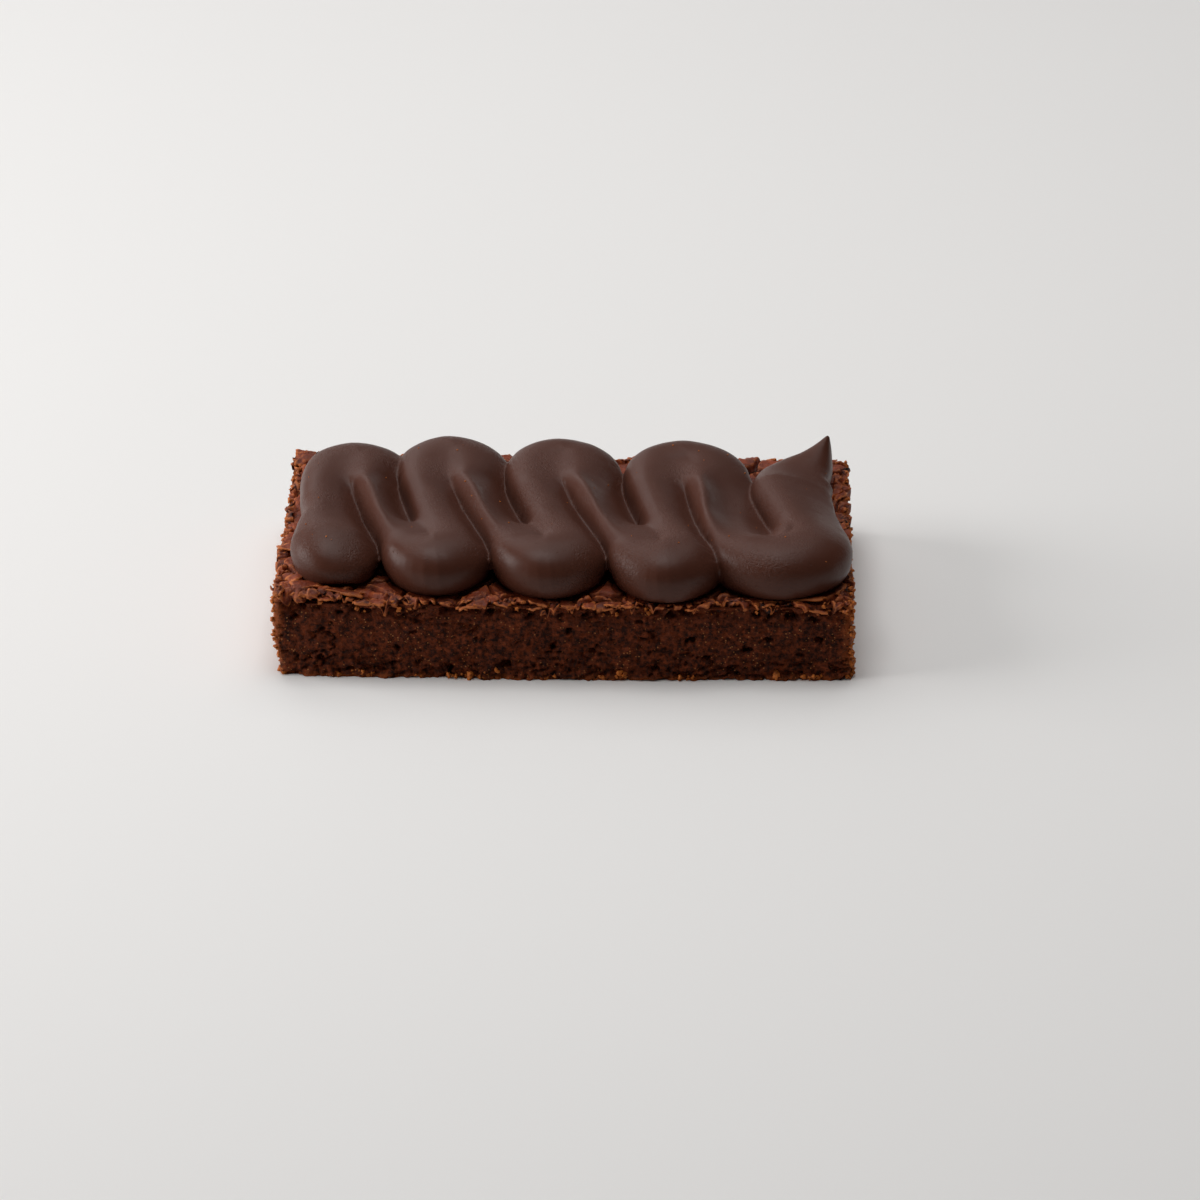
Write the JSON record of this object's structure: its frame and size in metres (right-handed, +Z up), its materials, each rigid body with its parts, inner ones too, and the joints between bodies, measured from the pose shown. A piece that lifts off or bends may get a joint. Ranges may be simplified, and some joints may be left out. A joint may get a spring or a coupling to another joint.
{
  "type": "chocolate brownie",
  "caption": "Rectangular bar of chocolate brownie with a papery cracked crust, topped with one ribbon of ganache piped in a zigzag and pulled up to a peak at its end.",
  "frame": {"origin": "middle of the whole's footprint, on the bar's flat underside", "axes": "+X along the bar, from the ribbon's rounded start to its peak; -Y towards the long face that the picture shows; +Z up"},
  "size_m": [0.131, 0.0782, 0.0317],
  "materials": {
    "crumb": "matte, crumbly",
    "ganache": "satin"
  },
  "bodies": {
    "root": {"brownie": "crumb", "ganache": "ganache"}
  },
  "joints": []
}
